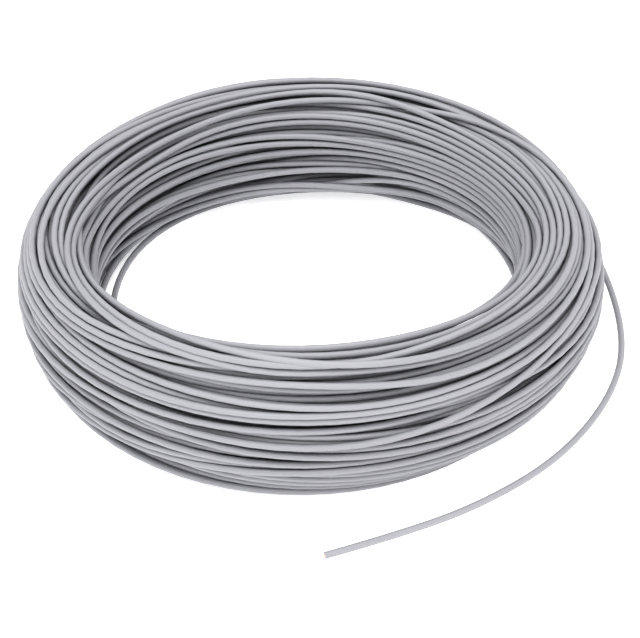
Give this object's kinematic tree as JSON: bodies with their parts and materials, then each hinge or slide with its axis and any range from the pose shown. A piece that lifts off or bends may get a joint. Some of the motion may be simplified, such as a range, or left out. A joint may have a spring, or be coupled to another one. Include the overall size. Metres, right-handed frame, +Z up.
{
  "type": "single-core wire",
  "caption": "Grey PVC-insulated solid-core hook-up wire wound by hand into a loose round coil, with its free tail lying round the front.",
  "frame": {"origin": "on the surface that the wire lies on, under the centre of the box round the coil and its tail", "axes": "+Z up along the coil's axis, -Y towards the front, where the tail ends, +X to the side on which the tail leaves the coil"},
  "size_m": [0.1488, 0.1566, 0.0354],
  "materials": {
    "insulation": "matte light grey PVC with fine drawn lines along the wire",
    "conductor": "plain drawn copper, dull on the sheared face"
  },
  "bodies": {
    "root": {"coiled_wire": "insulation", "tail_insulation": "insulation", "tail_conductor": "conductor"}
  },
  "joints": []
}
